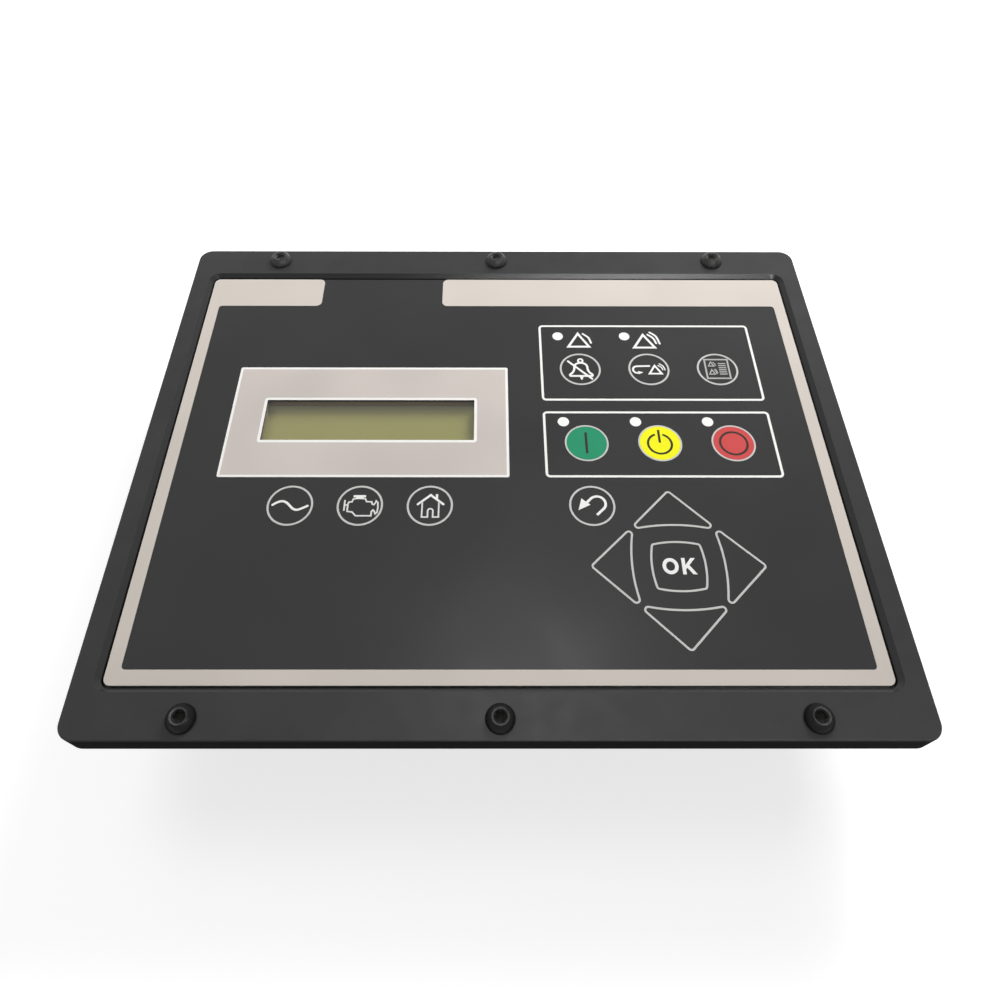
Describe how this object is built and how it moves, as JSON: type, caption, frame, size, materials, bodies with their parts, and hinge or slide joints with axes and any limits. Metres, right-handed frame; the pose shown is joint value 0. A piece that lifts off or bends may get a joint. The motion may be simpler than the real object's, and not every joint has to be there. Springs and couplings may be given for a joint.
{
  "type": "control display panel",
  "caption": "Operator panel with a recessed membrane keypad, a character display, a screw-down front frame and a sealed rear housing with a multi-pin connector.",
  "frame": {"origin": "centre of the pattern of mounting screws, on the rear face of the front frame's flange, which is the plane that lies against the panel it is mounted in", "axes": "+Z out of the front face towards the user, +X to the user's right along the long side, +Y up the panel"},
  "size_m": [0.27, 0.217, 0.052],
  "materials": {
    "frame_plastic": "fine moulded grain, satin",
    "overlay_film": "fine-textured printed film",
    "beige_print": "printed under textured film",
    "white_print": "printed line",
    "grey_print": "printed line",
    "green_print": "printed key",
    "yellow_print": "printed key",
    "red_print": "printed key",
    "lamp_film": "translucent white",
    "clear_lens": "clear, polished",
    "display_field": "grey-green character display",
    "seal_rubber": "black sponge rubber",
    "red_seal": "silicone cord",
    "housing_plastic": "fine moulded grain, satin",
    "connector_plastic": "glass-filled, satin",
    "pale_plastic": "natural nylon",
    "spacer_film": "clear adhesive film",
    "circuit_film": "film with printed silver tracks",
    "light_diffuser": "white diffuser",
    "light_guide": "clear acrylic",
    "lamp_resin": "diffused lens",
    "circuit_board": "green solder mask",
    "chip_resin": "moulded black resin",
    "capacitor_sleeve": "shrunk sleeve",
    "ferrite": "pressed ferrite",
    "backing_aluminium": "mill finish",
    "dome_steel": "bright spring steel",
    "zinc_steel": "zinc plated",
    "black_steel": "black oxide",
    "pin_brass": "bright brass"
  },
  "bodies": {
    "root": {"bezel": "frame_plastic", "flange_gasket": "seal_rubber", "keypad_overlay": "overlay_film", "border_print": "beige_print", "surround_print": "beige_print", "outline_print": "white_print", "key_outline_print": "grey_print", "start_key_print": "green_print", "standby_key_print": "yellow_print", "stop_key_print": "red_print", "indicator_windows": "lamp_film", "key_spacer": "spacer_film", "snap_domes": "dome_steel", "keypad_circuit": "circuit_film", "backing_plate": "backing_aluminium", "display_window": "clear_lens", "lcd_glass": "display_field", "lcd_frame": "black_steel", "lcd_backlight": "light_diffuser", "lcd_board": "circuit_board", "lcd_screws": "zinc_steel", "display_header": "connector_plastic", "light_guides": "light_guide", "indicator_leds": "lamp_resin", "main_board": "circuit_board", "control_chips": "chip_resin", "power_capacitors": "capacitor_sleeve", "power_inductor": "ferrite", "tail_socket": "pale_plastic", "connector_header": "connector_plastic", "contact_block": "connector_plastic", "connector_pins": "pin_brass", "connector_seal": "red_seal", "jackscrew_insert": "pin_brass", "board_screws": "zinc_steel", "rear_housing": "housing_plastic", "housing_seal": "seal_rubber", "housing_screws": "zinc_steel", "mounting_screws": "black_steel"}
  },
  "joints": []
}
